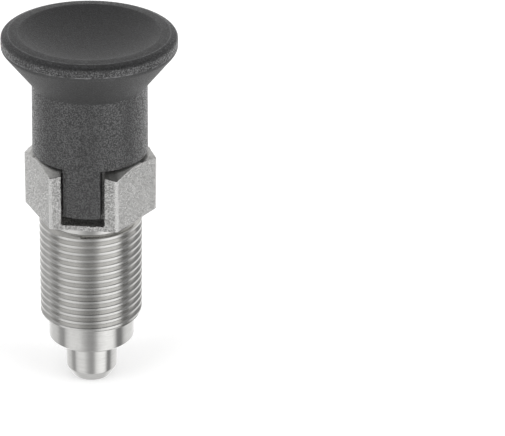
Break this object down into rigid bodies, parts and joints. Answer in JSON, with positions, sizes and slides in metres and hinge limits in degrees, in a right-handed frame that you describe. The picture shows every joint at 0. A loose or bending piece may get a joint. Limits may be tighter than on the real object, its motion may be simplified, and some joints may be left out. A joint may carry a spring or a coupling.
{
  "type": "indexing plunger",
  "caption": "Spring-loaded indexing plunger: threaded steel sleeve with slotted hexagon, bevelled locking pin and dished mushroom pull knob.",
  "frame": {"origin": "on the plunger's axis, in the plane of the hexagon's underside, which seats on the plate", "axes": "+Z along the axis from the pin's nose to the knob; the two deep slots face -Y and +Y; two corners of the hexagon lie on the X axis"},
  "size_m": [0.033, 0.033, 0.0732],
  "materials": {
    "stainless_body": "fine-grained cast hexagon, turned thread and pilot, bare stainless steel",
    "stainless_pin": "turned and ground, bare stainless steel",
    "spring_wire": "drawn stainless spring wire",
    "knob_plastic": "dark grey moulded thermoplastic with a fine matt grain"
  },
  "bodies": {
    "sleeve": {"threaded_sleeve": "stainless_body", "guide_bush": "stainless_pin", "compression_spring": "spring_wire"},
    "puller": {"locking_pin": "stainless_pin", "pull_knob": "knob_plastic"}
  },
  "joints": [
    {"name": "pull", "type": "slide", "parent": "sleeve", "child": "puller", "axis": [0, 0, 1], "range_m": [0, 0.0105], "stiffness_N_per_m": 2530, "springref_m": -0.0055, "deforming": ["compression_spring"]}
  ]
}
